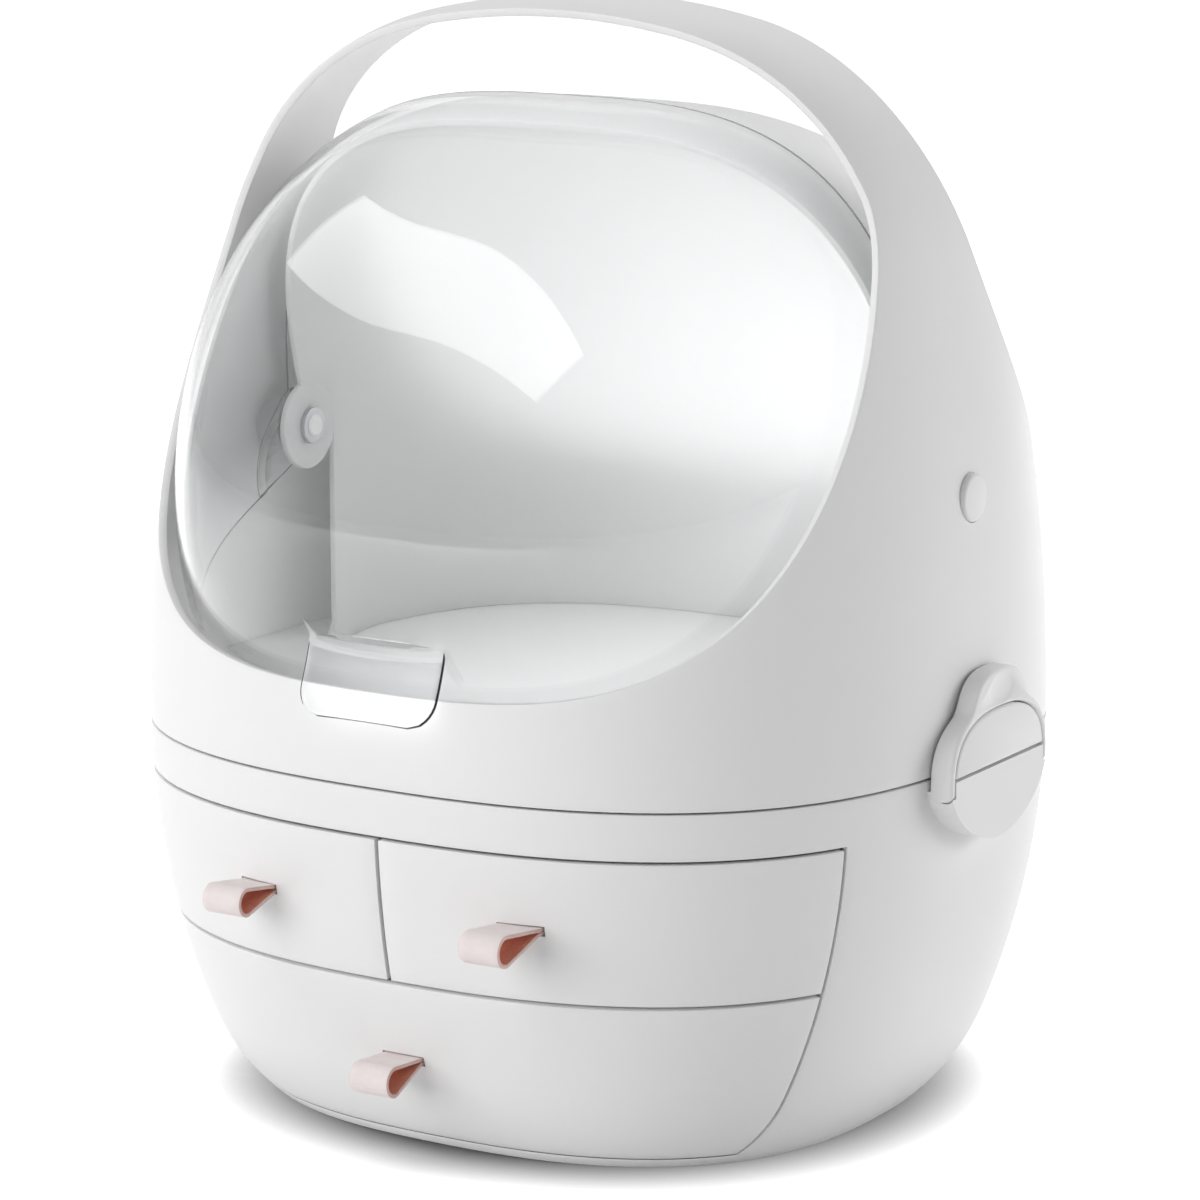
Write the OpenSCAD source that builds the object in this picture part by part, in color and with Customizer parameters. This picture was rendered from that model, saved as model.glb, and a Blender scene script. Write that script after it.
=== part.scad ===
// Egg-shaped makeup organizer. A drawer base carries a lift-off box with a carry strap,
// and a clear lid turns back under the strap. The front faces -Y and z = 0 is the table.

/* [Body] */
// Width at the seam, the widest place
body_w = 300; // [294:1:306]
// Depth at the seam
body_d = 282; // [276:1:288]
// Height to the top of the carry strap
total_h = 381.3; // [379:0.1:384]
// Height of the seam between the drawer base and the upper box
seam_z = 132; // [130:0.5:134]
// Gap that shows as the seam line
seam_gap = 0.8; // [0.4:0.1:1]
// Wall of both shells and of the drawer fronts
wall = 3; // [2.6:0.1:3.2]
// Squareness of the plan outline, where 2 is an ellipse
corner_p = 2.53; // [2.48:0.01:2.6]
// Squareness of the side outline over the seam
dome_p = 2.15; // [2.1:0.01:2.25]

/* [Front outline] */
// Radius of the sides over the seam
side_r = 824; // [780:1:900]
// Share of the height over the seam that the sides' arc takes
side_share = 0.676; // [0.655:0.001:0.695]
// Radius of the strap's top
crown_r = 277; // [262:1:292]
// Radius of the belly under the seam
belly_r = 300; // [280:1:330]
// Radius of the turn to the foot
foot_r = 70; // [64:1:76]
// Height at which the belly turns to the foot
foot_turn_z = 28; // [26:0.5:32]

/* [Openings] */
// Height of the front sill
sill_z = 163.5; // [161:0.5:166]
// Front edge of the carry strap, ahead of the middle
strap_front = 32; // [30:0.5:34]
// Back edge of the carry strap, behind the middle
strap_back = 8; // [6:0.5:12]
// How far under the top the front edge starts to sweep forward
front_sweep_drop = 58.3; // [52:0.1:65]
// Curve of the front edge, where 2 is an ellipse
front_sweep_p = 1.38; // [1.34:0.01:1.44]
// Height of the back sill
back_sill_z = 200; // [196:1:206]
// How far under the top the back edge starts to sweep back
back_sweep_drop = 15.3; // [12:0.1:23]
// Curve of the back edge
back_sweep_p = 1.74; // [1.7:0.01:1.8]

/* [Lid] */
// How much the clear lid's radius at the sill exceeds half the depth
lid_past = 0.8; // [0:0.1:1]
// How much the radius grows up to the back rim
lid_grow = 3.6; // [3:0.1:3.8]
// How much less half the lid's width is than half the body's
lid_less = 18.5; // [18:0.1:20]
// Wall of the lid
lid_wall = 2.4; // [2:0.1:2.6]
// Height of the lid's own centre
lid_z = 205; // [204:0.5:206]
// Height of the pivot that the lid turns on
pivot_z = 221; // [220:0.5:222]
// Angle of the lid's lower edge under the level of its centre
lid_low = 19; // [17:0.5:20]
// Angle of the back rim over that level
lid_high = 82; // [80:0.5:84]
// Width of the finger tab
tab_w = 53; // [44:1:60]
// Height of the finger tab
tab_h = 25; // [22:0.5:27]
// Diameter of the pivot pin
pin_d = 8; // [6:0.5:9]
// Diameter of the pin's round cap
cap_d = 16.5; // [14:0.5:19]
// Running gap round a pin
pin_fit = 0.06; // [0.04:0.01:0.1]

/* [Drawers] */
// Band of the base over the drawer fronts
band_h = 16; // [14:0.5:18]
// Height of the line between the upper and the lower drawers
split_z = 64.5; // [62:0.5:67]
// Plane that the drawer fronts end at, ahead of the middle
front_plane = 71; // [69:0.5:74]
// Gap round the drawer fronts
front_gap = 1; // [0.6:0.1:1.4]
// Half width of the upper trays
upper_tray_x = 102; // [98:0.5:103]
// Half width of the lower tray
lower_tray_x = 88; // [84:0.5:90]
// Wall of the trays
tray_wall = 2; // [1.6:0.1:2.4]
// How far the upper trays reach behind the middle
upper_tray_back = 84; // [80:0.5:86]
// How far the lower tray reaches behind the middle
lower_tray_back = 63; // [60:0.5:65]
// Gap between a tray and what it runs on
run_gap = 0.3; // [0.2:0.05:0.4]

/* [Pulls] */
// Width of the strap loops
pull_w = 16; // [13:0.5:18]
// Thickness of the strap
pull_t = 1.3; // [1:0.1:1.5]
// How far a loop stands out
pull_out = 27; // [23:0.5:30]
// Outer radius of a loop's round end
pull_r = 7; // [6:0.1:8]
// Distance of the upper loops from the middle
pull_x = 52; // [44:1:60]
// Height of the upper loops
upper_pull_z = 90.5; // [86:0.5:94]
// Height of the lower loop
lower_pull_z = 36; // [33:0.5:40]

/* [Latches] */
// Half width of the round boss that the seam cuts in two
boss_r = 34.8; // [33:0.2:36]
// Height of the boss and the hoop's sides over the seam
boss_up = 22; // [20:0.5:23]
// How far the boss reaches under the seam
boss_down = 25.5; // [24:0.5:28]
// Width of the hoop's sides
hoop_w = 2.6; // [2.4:0.1:3.4]
// Radius of the hoop's thumb tab
thumb_r = 11.5; // [10:0.5:13]
// Height of the thumb tab's centre over the seam
thumb_up = 21.5; // [19:0.5:22]
// How far the boss and the hoop stand out of the side
latch_out = 7.5; // [6.5:0.5:9]
// Height of the hoop's hinge under the seam
hinge_drop = 4; // [3.5:0.5:6]
// Diameter of the hinge pins
hinge_d = 3; // [2.5:0.1:3.5]

/* [Hidden] */
$fn = 48;

white = [0.95, 0.95, 0.96];
clear = [0.85, 0.92, 0.95, 0.35];
leather = [0.87, 0.70, 0.67];
rubber = [0.25, 0.25, 0.26];
steel = [0.72, 0.73, 0.75];

ring_n = 64; // points round a plan outline
side_steps = 5; // levels up the sides
shoulder_steps = 8; // levels over the shoulder
crown_steps = 5; // levels up the crown
half_w = body_w / 2;
half_d = body_d / 2;
depth_less = half_w - half_d; // how much less deep than wide the body is, each side
eps = 0.02; // overlap that makes two solids one
far = 400; // reach of a cut that passes through everything

// ---- Outlines ----

function signed_pow(v, e) = sign(v) * pow(abs(v), e);

// Plan outline with half width a and half depth b at height z
function ring(a, b, z, n = ring_n) = [
    for (i = [0 : n - 1])
        let (t = 360 * i / n)
            [a * signed_pow(cos(t), 2 / corner_p), b * signed_pow(sin(t), 2 / corner_p), z]
];

// Half depth of such an outline at the place x across
function depth_at(x, a, b) = b * pow(max(0, 1 - pow(abs(x) / a, corner_p)), 1 / corner_p);

// Under the seam: the belly's arc, then the tighter arc that turns to the foot.
// w is how far inside the outer surface the outline runs.
belly_cx = half_w - belly_r;
turn_t = asin((seam_z - foot_turn_z) / belly_r);
foot_cx = belly_cx + (belly_r - foot_r) * cos(turn_t);
foot_cz = seam_z - (belly_r - foot_r) * sin(turn_t);

function arc_x(cx, cz, r, z) = cx + sqrt(max(0, r * r - pow(z - cz, 2)));
function base_a(z, w = 0) =
    z > foot_cz - (foot_r - w) * sin(turn_t)
        ? arc_x(belly_cx, seam_z, belly_r - w, min(z, seam_z))
        : arc_x(foot_cx, foot_cz, foot_r - w, z);
function base_b(z, w = 0) = base_a(z, w) - depth_less;
function base_ring(z, w = 0) = ring(base_a(z, w), base_b(z, w), z);

// Over the seam: the side's arc, the shoulder's arc that is tangent to both, and the crown's arc
side_cx = half_w - side_r;
side_lean = asin(side_share * (total_h - seam_z) / side_r); // lean at the top of the sides
lean_v = [cos(side_lean), sin(side_lean)];
side_end = [side_cx, seam_z] + side_r * lean_v;
crown_cz = total_h - crown_r;
crown_to_end = side_end - [0, crown_cz];
shoulder_r = (crown_to_end * crown_to_end - crown_r * crown_r)
    / (2 * (crown_to_end * lean_v - crown_r));
shoulder_c = side_end - shoulder_r * lean_v;
crown_t = atan2(shoulder_c[1] - crown_cz, shoulder_c[0]);
crown_flat = 4; // half width of the flat that closes the crown
crown_rise = 2; // height of the side outline over the crown

function upper_a(z, w = 0) =
    z < seam_z + (side_r - w) * sin(side_lean)
        ? arc_x(side_cx, seam_z, side_r - w, max(z, seam_z))
        : z < crown_cz + (crown_r - w) * sin(crown_t)
            ? arc_x(shoulder_c[0], shoulder_c[1], shoulder_r - w, z)
            : arc_x(0, crown_cz, crown_r - w, z);
function upper_b(z, w = 0) =
    let (u = max(0, z - seam_z) / (total_h + crown_rise - w - seam_z))
        (half_d - w) * pow(1 - pow(u, dome_p), 1 / dome_p);
function upper_ring(z, w = 0) = ring(upper_a(z, w), upper_b(z, w), z);
function upper_levels(z0, w) =
    let (
        z1 = seam_z + (side_r - w) * sin(side_lean),
        top_t = acos(crown_flat / (crown_r - w))
    )
    concat(
        [for (i = [0 : side_steps - 1]) z0 + (z1 - z0) * i / side_steps],
        [for (i = [0 : shoulder_steps - 1])
            let (t = side_lean + (crown_t - side_lean) * i / shoulder_steps)
                shoulder_c[1] + (shoulder_r - w) * sin(t)],
        [for (i = [0 : crown_steps])
            crown_cz + (crown_r - w) * sin(crown_t + (top_t - crown_t) * i / crown_steps)]
    );

// Edge of an opening in the side view: from straight up at the strap to level at the sill
sweep_steps = 18;
function sweep_edge(y_top, z_top, y_sill, z_sill, p) = [
    for (i = [0 : sweep_steps])
        let (t = 90 * i / sweep_steps)
            [y_sill + (y_top - y_sill) * pow(cos(t), 2 / p), z_top - (z_top - z_sill) * pow(sin(t), 2 / p)]
];

// ---- Building blocks ----

// Solid through a stack of outlines with the same number of points
module loft(rings) {
    n = len(rings[0]);
    top = (len(rings) - 1) * n;
    sides = [
        for (k = [0 : len(rings) - 2], i = [0 : n - 1])
            let (j = (i + 1) % n, p = k * n, q = p + n)
                each [[p + i, q + i, q + j], [p + i, q + j, p + j]]
    ];
    caps = [[for (i = [0 : n - 1]) i], [for (i = [n - 1 : -1 : 0]) top + i]];
    polyhedron([for (r = rings) each r], concat(sides, caps), convexity = 8);
}

// The base's outer form, w inside its surface, between two heights
module base_form(w, z0, z1, steps) {
    loft([for (i = [0 : steps]) base_ring(z0 + (z1 - z0) * pow(i / steps, 1.4), w)]);
}

// The upper box's outer form, w inside its surface, from height z0 up
module upper_form(w, z0) {
    loft([for (z = upper_levels(z0, w)) upper_ring(z, w)]);
}

// Flat plate with the plan outline of half width a and half depth b
module plan_plate(a, b, t) {
    linear_extrude(t) polygon([for (q = ring(a, b, 0)) [q[0], q[1]]]);
}

// Side view outline [y, z] carried across from x0 to x1
module across(x0, x1) {
    translate([x0, 0, 0]) rotate([90, 0, 90]) linear_extrude(x1 - x0) children();
}

// Cylinder that lies along X, from x0 to x1
module rod_x(x0, x1, y, z, d) {
    translate([x0, y, z]) rotate([0, 90, 0]) cylinder(d = d, h = x1 - x0);
}

// Cylinder that lies along Y, from y0 to y1
module rod_y(y0, y1, x, z, d) {
    translate([x, y0, z]) rotate([-90, 0, 0]) cylinder(d = d, h = y1 - y0);
}

// Draws its child on the right, or mirrored on the left
module on_side(side) {
    if (side > 0) children();
    else mirror([1, 0, 0]) children();
}

// ---- Drawer base ----

drawer_top = seam_z - band_h;
foot_lip = 4; // height of the lip under the lower drawer front
floor_t = 3; // thickness of the base's floor
tongue_h = 5; // height of the lip over the seam
tongue_t = 2; // thickness of that lip
tongue_gap = 0.3; // gap between the lip and the upper box
tongue_root = 8; // how far under the seam the lip starts
tongue_sink = 0.5; // how far the lip's foot sinks into the wall
feet_x = 72; // place of the foot pads, across
feet_y = 62; // and front and back
feet_d = 18; // diameter of a foot pad
feet_depth = 1.6; // depth of its recess
feet_gap = 0.1; // gap round a pad
screw_d = 3; // diameter of the chassis screws
screw_head_d = 6; // diameter of their heads
screw_head_h = 2; // height of their heads
screw_bite = 9; // length of a screw in its post
screw_y = 40; // place of the screws, front and back
bay_play = 1; // gap between a tray and the chassis beside and behind it
chassis_wall = 2; // thickness of the chassis walls, shelf and divider
post_r = 4.5; // radius of the posts that take the screws
post_in = 2; // how far a post's axis lies outside the chassis wall
lower_x = lower_tray_x + bay_play;
upper_x = upper_tray_x + bay_play;
screw_x = lower_x + chassis_wall + post_in;
shelf_z = split_z - chassis_wall / 2;
shelf_top = shelf_z + chassis_wall;
shelf_play = 1; // gap between the shelf and the shell
bay_front = front_plane - 1; // front edge of the shelf and the upper bay
lower_front = front_plane - 6; // front edge of the lower bay's walls
runner_w = 10; // width of the lower bay's runners
runner_x = lower_x - runner_w; // inner edge of the runners
runner_top = foot_lip + 0.4;

// Side view of the latch boss, w inside its outline: three arcs
boss_drop = 2; // how far the boss's widest place lies under the seam
boss_arc_up = 50; // radius of the flat arc over it
boss_arc_down = 42; // and of the arc under it
module boss_outline(w) {
    translate([0, seam_z]) intersection() {
        translate([0, -boss_drop]) circle(r = boss_r - w);
        translate([0, boss_up - boss_arc_up]) circle(r = boss_arc_up - w);
        translate([0, boss_arc_down - boss_down]) circle(r = boss_arc_down - w);
    }
}

latch_gap = 0.5; // gap round the hoop
latch_back = 1; // gap between the hoop and the side
boss_root = half_w - wall + 0.5; // the boss starts inside the wall
boss_face = half_w + latch_out;
hoop_back = half_w + latch_back;
hinge_r = (boss_face - hoop_back) / 2; // radius of the hoop's round ends
hinge_x = hoop_back + hinge_r;
hinge_z = seam_z - hinge_drop;
hinge_root = 5; // how deep a hinge pin sits in the boss
boss_step = hinge_drop + hinge_r + 3 * latch_gap / 2; // the wide part of the boss starts here
boss_turn = hinge_drop - boss_drop; // height of the boss's widest place over the hinge
core_in = hoop_w + latch_gap; // how far the narrow part lies inside the boss's outline

// Both latch bosses between two heights, w inside the boss's outline
module bosses(w, z_low, z_high) {
    for (side = [-1, 1]) on_side(side) intersection() {
        across(boss_root, boss_face) boss_outline(w);
        translate([0, -far / 2, z_low]) cube([far, far, z_high - z_low]);
    }
}

module at_feet() {
    for (x = [-feet_x, feet_x], y = [-feet_y, feet_y]) translate([x, y, 0]) children();
}

module at_screws() {
    for (x = [-screw_x, screw_x], y = [-screw_y, screw_y]) translate([x, y, 0]) children();
}

// The four hinge pins lie along Y, two in each boss
module at_hinges() {
    for (side = [-1, 1]) on_side(side) hinge_pair() children();
}
module hinge_pair() {
    for (end = [-1, 1])
        translate([hinge_x, end * (boss_r - core_in - hinge_root), hinge_z])
            rotate([-90 * end, 0, 0]) children();
}

// Bowl with an open front: its walls, the band over the drawers and the lower boss halves
module base_shell() {
    color(white) difference() {
        union() {
            difference() {
                base_form(0, 0, seam_z - seam_gap / 2, 9);
                base_form(wall, floor_t, seam_z + 1, 8);
                // the drawer fronts take everything ahead of their plane
                translate([-far / 2, -far - front_plane, foot_lip])
                    cube([far, far, drawer_top - foot_lip]);
            }
            // lip that centres the upper box
            translate([0, 0, seam_z - tongue_root]) difference() {
                union() {
                    plan_plate(half_w - wall - tongue_gap, half_d - wall - tongue_gap,
                        tongue_root + tongue_h);
                    plan_plate(half_w - wall + tongue_sink, half_d - wall + tongue_sink,
                        tongue_root - seam_gap / 2);
                }
                translate([0, 0, -1]) plan_plate(half_w - wall - tongue_gap - tongue_t,
                    half_d - wall - tongue_gap - tongue_t, tongue_root + tongue_h + 2);
            }
            bosses(core_in, seam_z - boss_step - 1, seam_z - seam_gap / 2);
            bosses(0, seam_z - boss_down, seam_z - boss_step);
        }
        at_feet() translate([0, 0, -1]) cylinder(d = feet_d, h = feet_depth + 1);
        at_screws() {
            translate([0, 0, -1]) cylinder(d = screw_d + 2 * pin_fit, h = floor_t + 2);
            translate([0, 0, -1]) cylinder(d = screw_head_d + 2 * pin_fit, h = screw_head_h + 1);
        }
        at_hinges() cylinder(d = hinge_d, h = hinge_root + 1);
    }
}

// Frame that the drawers run in: two stacked bays, a shelf, a divider and screw posts
module drawer_chassis() {
    lower_h = shelf_z - floor_t;
    upper_h = drawer_top - shelf_top;
    lower_len = lower_front + lower_tray_back + bay_play;
    upper_len = bay_front + upper_tray_back + bay_play;
    color(white) difference() {
        union() {
            intersection() {
                translate([0, 0, shelf_z]) plan_plate(base_a(shelf_z, wall) - shelf_play,
                    base_b(shelf_z, wall) - shelf_play, chassis_wall);
                translate([-far / 2, -bay_front, shelf_z]) cube([far, far, chassis_wall]);
            }
            for (side = [-1, 1]) on_side(side) {
                translate([lower_x, -lower_front, floor_t]) cube([chassis_wall, lower_len, lower_h]);
                translate([upper_x, -bay_front, shelf_top]) cube([chassis_wall, upper_len, upper_h]);
                translate([runner_x, -lower_front, floor_t])
                    cube([runner_w, lower_len, runner_top - floor_t]);
                for (y = [-screw_y, screw_y]) intersection() {
                    translate([screw_x, y, floor_t]) cylinder(r = post_r, h = lower_h);
                    translate([lower_x, -far / 2, 0]) cube([far, far, far]);
                }
            }
            translate([-lower_x - chassis_wall, lower_tray_back + bay_play, floor_t])
                cube([2 * (lower_x + chassis_wall), chassis_wall, lower_h]);
            translate([-upper_x - chassis_wall, upper_tray_back + bay_play, shelf_top])
                cube([2 * (upper_x + chassis_wall), chassis_wall, upper_h]);
            translate([-chassis_wall / 2, -bay_front, shelf_top]) cube([chassis_wall, upper_len, upper_h]);
        }
        at_screws() cylinder(d = screw_d, h = floor_t + screw_bite);
    }
}

deck_t = 2; // thickness of the deck over the drawers

// Deck that closes the drawer bays, on top of the chassis
module deck_panel() {
    gap = tongue_gap + tongue_gap;
    color(white) translate([0, 0, drawer_top])
        plan_plate(base_a(drawer_top, wall) - gap, base_b(drawer_top, wall) - gap, deck_t);
}

module rubber_feet() {
    color(rubber) at_feet() cylinder(d = feet_d - 2 * feet_gap, h = feet_depth);
}

// Countersunk heads are flat here: the screws hold the chassis to the floor from below
module chassis_screws() {
    color(steel) at_screws() {
        translate([0, 0, 0.2]) cylinder(d = screw_head_d, h = screw_head_h - 0.2);
        translate([0, 0, screw_head_h - eps])
            cylinder(d = screw_d, h = floor_t + screw_bite - screw_head_h - 0.5);
    }
}

// ---- Drawers ----

tray_fit = 0.3; // gap between a tray's front wall and the drawer front
tray_under = 1.5; // gap over a tray
front_steps = 14; // points along a tray's curved front
tray_floor = 2; // thickness of a tray's floor
upper_tray_z = shelf_top + run_gap;
lower_tray_z = runner_top + run_gap;

// Plan of a tray from x0 to x1, w inside its outer wall, curved as the drawer front is at height z
function tray_plan(x0, x1, y_back, z, w) =
    let (a = base_a(z, wall + tray_fit) - w, b = base_b(z, wall + tray_fit) - w)
    concat(
        [for (i = [0 : front_steps])
            let (x = x0 + w + (x1 - x0 - 2 * w) * i / front_steps) [x, -depth_at(x, a, b)]],
        [[x1 - w, y_back - w], [x0 + w, y_back - w]]
    );

module tray(x0, x1, y_back, z, h) {
    color(white) translate([0, 0, z]) difference() {
        linear_extrude(h) polygon(tray_plan(x0, x1, y_back, z, 0));
        translate([0, 0, tray_floor]) linear_extrude(h) polygon(tray_plan(x0, x1, y_back, z, tray_wall));
    }
}

bar_t = 2; // thickness of the bar behind a pull
bar_h = 8; // height of that bar
bar_more = 3; // how far it reaches past the strap at each end
bar_w = pull_w + 2 * bar_more;
pocket_gap = 1; // gap round a bar in the tray's front wall
upper_tray_in = chassis_wall / 2 + bay_play; // inner side of the upper trays
upper_tray_h = drawer_top - tray_under - upper_tray_z;
lower_tray_h = shelf_z - tray_under - lower_tray_z;

// The front wall has a pocket round the bar of the pull
module upper_tray(side) {
    on_side(side) difference() {
        tray(upper_tray_in, upper_tray_x, upper_tray_back, upper_tray_z, upper_tray_h);
        translate([pull_x - bar_w / 2 - pocket_gap, -far, upper_pull_z - bar_h / 2 - pocket_gap])
            cube([bar_w + 2 * pocket_gap, far, bar_h + 2 * pocket_gap]);
    }
}
module tray_left() { upper_tray(-1); }
module tray_right() { upper_tray(1); }
module tray_lower() { tray(-lower_tray_x, lower_tray_x, lower_tray_back, lower_tray_z, lower_tray_h); }

slit_gap = 0.25; // gap round the strap in its slit

// Where the drawer front's surface lies at x across and height z
function front_y(x, z, w = 0) = -depth_at(x, base_a(z, w), base_b(z, w));

// Drawer front from x0 to x1 and z0 to z1, with the slit of a pull at [px, pz]
module drawer_front(x0, x1, z0, z1, px, pz) {
    color(white) difference() {
        base_form(0, z0, z1, 6);
        base_form(wall, z0 - 0.5, z1 + 0.5, 6);
        translate([-far / 2, -front_plane - front_gap, 0]) cube([far, far, far]);
        translate([-far, -far, 0]) cube([far + x0, far, far]);
        translate([x1, -far, 0]) cube([far, far, far]);
        translate([px - pull_w / 2 - slit_gap, -far, pz - pull_t - slit_gap])
            cube([pull_w + 2 * slit_gap, far, 2 * (pull_t + slit_gap)]);
    }
}

module upper_front(side) {
    on_side(side) drawer_front(front_gap / 2, half_w, split_z + front_gap / 2, drawer_top - front_gap,
        pull_x, upper_pull_z);
}
module front_left() { upper_front(-1); }
module front_right() { upper_front(1); }
module front_lower() {
    drawer_front(-half_w, half_w, foot_lip + front_gap, split_z - front_gap / 2, 0, lower_pull_z);
}

tail_more = 1; // how far the strap's ends reach past the bar

// Where the bar's front face lies behind the drawer front
function bar_y(x, z) = front_y(x + bar_w / 2, z - bar_h / 2, wall) + 0.3;

// Strap folded to a loop: a round end, two straight runs and the ends that pass the slit.
// Side view [y, z] from the slit, drawn forward.
module loop_side(t) {
    reach = pull_out - pull_r;
    translate([-reach, 0]) circle(r = pull_r - t);
    polygon([[-3 * t, pull_t - t], [-reach, pull_r - t], [-reach, t - pull_r], [-3 * t, t - pull_t]]);
}

module pull(x, z) {
    y = front_y(x, z);
    color(leather) {
        across(x - pull_w / 2, x + pull_w / 2) translate([y, z]) difference() {
            loop_side(0);
            loop_side(pull_t);
        }
        translate([x - pull_w / 2, y - eps, z - pull_t])
            cube([pull_w, bar_y(x, z) + bar_t + tail_more - y, 2 * pull_t]);
    }
}
module pull_left() { mirror([1, 0, 0]) pull(pull_x, upper_pull_z); }
module pull_right() { pull(pull_x, upper_pull_z); }
module pull_lower() { pull(0, lower_pull_z); }

// Slotted bar that grips the strap's ends behind the drawer front
module pull_bar(x, z) {
    color(white) difference() {
        translate([x - bar_w / 2, bar_y(x, z), z - bar_h / 2]) cube([bar_w, bar_t, bar_h]);
        translate([x - pull_w / 2, bar_y(x, z) - 1, z - pull_t]) cube([pull_w, bar_t + 2, 2 * pull_t]);
    }
}
module pull_bar_left() { mirror([1, 0, 0]) pull_bar(pull_x, upper_pull_z); }
module pull_bar_right() { pull_bar(pull_x, upper_pull_z); }
module pull_bar_lower() { pull_bar(0, lower_pull_z); }

// ---- Upper box ----

window_past = 2; // how far the openings' edges run past the body
lid_r = half_d + lid_past; // radius of the lid from its own centre, at the sill
lid_half_w = half_w - lid_less;
ear_in = lid_half_w - lid_wall; // inner face of the lid's ears
ear_r = 13; // radius of an ear round the pivot
ear_gap = 0.4; // gap beside an ear
pivot_boss_d = 18; // diameter of the spacer boss inside the side
cap_seat = upper_a(pivot_z) - 1.4; // seat of the pivot cap in the side
cap_t = 3; // thickness of the cap
clip_t = 1.6; // thickness of the retaining ring
clip_d = 13; // diameter of the retaining ring
dome_t = 2.4; // wall of the rear dome
dome_less = 6.6; // how much narrower than the lid the dome is, each side
dome_half_w = lid_half_w - dome_less;
dome_gap = 2.5; // gap between the lid's rim and the dome
dome_p_plan = 3.05; // squareness of the dome's outline
dome_low_r = 15; // radius at which the dome's cheeks end round the pivot
clip_play = 0.4; // gap between the dome and the ring
clip_past = 1; // how far a pin reaches past its ring
pin_end = dome_half_w - dome_t - clip_play - clip_t - clip_past;

// Side view of the front opening [y, z]; everything ahead of its edge is open
module front_window() {
    y_sill = -half_d - window_past;
    polygon(concat(
        sweep_edge(-strap_front, total_h - front_sweep_drop, y_sill, sill_z, front_sweep_p),
        [[y_sill - far, sill_z], [y_sill - far, far + sill_z], [-strap_front, far + sill_z]]
    ));
}

// Side view of the back opening
module back_window() {
    y_sill = half_d + window_past;
    polygon(concat(
        sweep_edge(strap_back, total_h - back_sweep_drop, y_sill, back_sill_z, back_sweep_p),
        [[y_sill + far, back_sill_z], [y_sill + far, far + back_sill_z], [strap_back, far + back_sill_z]]
    ));
}

// Shell with the front and back openings: its sides sweep up into the carry strap
module upper_shell() {
    color(white) difference() {
        union() {
            difference() {
                upper_form(0, seam_z + seam_gap / 2);
                upper_form(wall, seam_z - 1);
                across(-far, far) front_window();
                across(-far, far) back_window();
            }
            bosses(core_in, seam_z + seam_gap / 2, seam_z + boss_up);
            for (side = [-1, 1]) on_side(side)
                rod_x(lid_half_w + ear_gap, cap_seat + 0.2, 0, pivot_z, pivot_boss_d);
        }
        for (side = [-1, 1]) on_side(side) {
            rod_x(cap_seat, far, 0, pivot_z, cap_d + 0.4);
            rod_x(ear_in, far, 0, pivot_z, pin_d);
        }
    }
}

floor_z = seam_z + tongue_h; // the compartment floor rests on the lip
floor_plate_t = 2.5; // thickness of that floor
floor_play = 0.3; // gap between the floor and the shell

// Floor of the upper compartment, carried by the upper box's wall
module compartment_floor() {
    z = floor_z + floor_plate_t;
    color(white) translate([0, 0, floor_z])
        plan_plate(upper_a(z, wall) - floor_play, upper_b(z, wall) - floor_play, floor_plate_t);
}

// Radius of the dome round the pivot: inside the lid's rim with a gap
rim_r = lid_r + lid_grow;
dome_r = norm([rim_r * sin(lid_high) - pivot_z + lid_z, rim_r * cos(lid_high)]) - lid_wall - dome_gap;
dome_front = 72; // angle of the dome's front edge over the level of the pivot
dome_steps = 24;

// Half outline of a dome [radius, across], from the crown to the cheek at radius r_end
function dome_side(r, half, p, r_end, n) =
    let (t_end = acos(pow(r_end / r, p / 2)))
    [for (i = [0 : n])
        let (t = t_end * i / n) [r * pow(cos(t), 2 / p), half * pow(sin(t), 2 / p)]];
function mirrored(points) = [for (q = points) [q[0], -q[1]]];
function reversed(points) = [for (i = [len(points) - 1 : -1 : 0]) points[i]];

// Wall of the dome as an outline [radius, across], both halves
module dome_wall() {
    outer = dome_side(dome_r, dome_half_w, dome_p_plan, dome_low_r, dome_steps);
    inner = dome_side(dome_r - dome_t, dome_half_w - dome_t, dome_p_plan, dome_low_r, dome_steps);
    polygon(concat(reversed(mirrored(outer)), outer, reversed(inner), mirrored(inner)));
}

// Fixed white dome that closes the back: turned round the pivot above it, upright below it
module rear_dome() {
    foot = floor_z + floor_plate_t;
    color(white) difference() {
        union() {
            translate([0, 0, pivot_z]) rotate([0, 90, 0]) rotate([0, 0, 90])
                rotate_extrude(angle = 180 - dome_front, $fn = 96) dome_wall();
            translate([0, 0, foot]) linear_extrude(pivot_z - foot) rotate(90) dome_wall();
            for (side = [-1, 1]) on_side(side) {
                rod_x(dome_half_w - dome_t, dome_half_w, 0, pivot_z, 2 * dome_low_r + 2);
                rod_x(dome_half_w - dome_t, ear_in - ear_gap, 0, pivot_z, pivot_boss_d);
            }
        }
        for (side = [-1, 1]) on_side(side) rod_x(ear_in - 10, far, 0, pivot_z, pin_d);
    }
}

// ---- Lid ----

lid_n = 32; // points across the lid's wall
lid_steps = 14; // steps from the lower edge to the rim
lid_p_low = 2.58; // squareness of the lid's outline at its lower edge
lid_p_high = 3.05; // and at its rim
lid_low_r = 20; // radius at which the lid's cheeks pass into the ears
ear_reach = 24; // the ears reach this far out from the lid's centre
ear_steps = 12;
tab_t = 2.4; // thickness of the finger tab
tab_out = 8; // how far the tab's lower edge stands out
tab_round = 9; // radius of the tab's corners
tab_top = sill_z + 18; // height of the tab's root

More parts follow.
